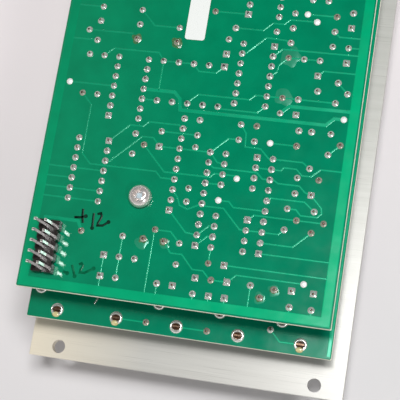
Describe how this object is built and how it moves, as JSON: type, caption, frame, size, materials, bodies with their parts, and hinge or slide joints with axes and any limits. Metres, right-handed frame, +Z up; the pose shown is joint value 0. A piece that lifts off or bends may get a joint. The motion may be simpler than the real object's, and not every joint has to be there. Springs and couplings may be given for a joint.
{
  "type": "eurorack module",
  "caption": "Rack synthesiser module lying face down on its knobs: aluminium panel, jacks and potentiometers, and circuit boards stacked behind with a pin header.",
  "frame": {"origin": "on the surface that the module lies on, face down, below the middle of its panel", "axes": "+Z up out of the module's back; +Y towards the module's top edge; +X to the right as seen from behind"},
  "size_m": [0.0808, 0.1284, 0.0504],
  "materials": {
    "panel_aluminium": "brushed",
    "board_green": "glossy solder mask",
    "black_plastic": "moulded",
    "knob_plastic": "satin moulded",
    "chip_plastic": "moulded",
    "nickel": "nickel plated",
    "screw_steel": "plated",
    "pot_metal": "plain",
    "capacitor_sleeve": "shrunk sleeve",
    "resistor_lacquer": "lacquered",
    "film_capacitor_box": "moulded"
  },
  "bodies": {
    "frame": {"board_pillar": "nickel", "capacitor": "capacitor_sleeve", "chip_1": "chip_plastic", "chip_2": "chip_plastic", "chip_3": "chip_plastic", "chip_4": "chip_plastic", "chip_5": "chip_plastic", "chip_6": "chip_plastic", "film_capacitor_1": "film_capacitor_box", "film_capacitor_2": "film_capacitor_box", "film_capacitor_3": "film_capacitor_box", "front_board_screw": "screw_steel", "front_circuit_board": "board_green", "front_panel": "panel_aluminium", "jack_1": "black_plastic", "jack_2": "black_plastic", "jack_3": "black_plastic", "jack_4": "black_plastic", "jack_5": "black_plastic", "jack_nut_1": "nickel", "jack_nut_2": "nickel", "jack_nut_3": "nickel", "jack_nut_4": "nickel", "jack_nut_5": "nickel", "pin_strip_1": "black_plastic", "pin_strip_2": "black_plastic", "pot_body_1": "pot_metal", "pot_body_2": "pot_metal", "pot_body_3": "pot_metal", "pot_body_4": "pot_metal", "pot_body_5": "pot_metal", "pot_body_6": "pot_metal", "pot_nut_1": "nickel", "pot_nut_2": "nickel", "pot_nut_3": "nickel", "pot_nut_4": "nickel", "pot_nut_5": "nickel", "pot_nut_6": "nickel", "power_header": "black_plastic", "rear_board_screw": "screw_steel", "rear_circuit_board": "board_green", "resistor_1": "resistor_lacquer", "resistor_2": "resistor_lacquer", "resistor_3": "resistor_lacquer", "resistor_4": "resistor_lacquer", "resistor_5": "resistor_lacquer", "strip_socket_1": "black_plastic", "strip_socket_2": "black_plastic"},
    "knob_1": {"pot_knob_1": "knob_plastic", "pot_shaft_1": "nickel"},
    "knob_2": {"pot_knob_2": "knob_plastic", "pot_shaft_2": "nickel"},
    "knob_3": {"pot_knob_3": "knob_plastic", "pot_shaft_3": "nickel"},
    "knob_4": {"pot_knob_4": "knob_plastic", "pot_shaft_4": "nickel"},
    "knob_5": {"pot_knob_5": "knob_plastic", "pot_shaft_5": "nickel"},
    "knob_6": {"pot_knob_6": "knob_plastic", "pot_shaft_6": "nickel"}
  },
  "joints": [
    {"name": "knob_1_turn", "type": "hinge", "parent": "frame", "child": "knob_1", "pos_m": [-0.02752, -0.0301, 0.0158], "axis": [0, 0, 1], "range_deg": [-150, 150]},
    {"name": "knob_2_turn", "type": "hinge", "parent": "frame", "child": "knob_2", "pos_m": [0.02582, -0.0301, 0.0158], "axis": [0, 0, 1], "range_deg": [-150, 150]},
    {"name": "knob_3_turn", "type": "hinge", "parent": "frame", "child": "knob_3", "pos_m": [-0.00085, -0.00343, 0.0158], "axis": [0, 0, 1], "range_deg": [-150, 150]},
    {"name": "knob_4_turn", "type": "hinge", "parent": "frame", "child": "knob_4", "pos_m": [-0.02752, 0.01816, 0.0158], "axis": [0, 0, 1], "range_deg": [-150, 150]},
    {"name": "knob_5_turn", "type": "hinge", "parent": "frame", "child": "knob_5", "pos_m": [0.02582, 0.01816, 0.0158], "axis": [0, 0, 1], "range_deg": [-150, 150]},
    {"name": "knob_6_turn", "type": "hinge", "parent": "frame", "child": "knob_6", "pos_m": [-0.00085, 0.03975, 0.0158], "axis": [0, 0, 1], "range_deg": [-150, 150]}
  ]
}
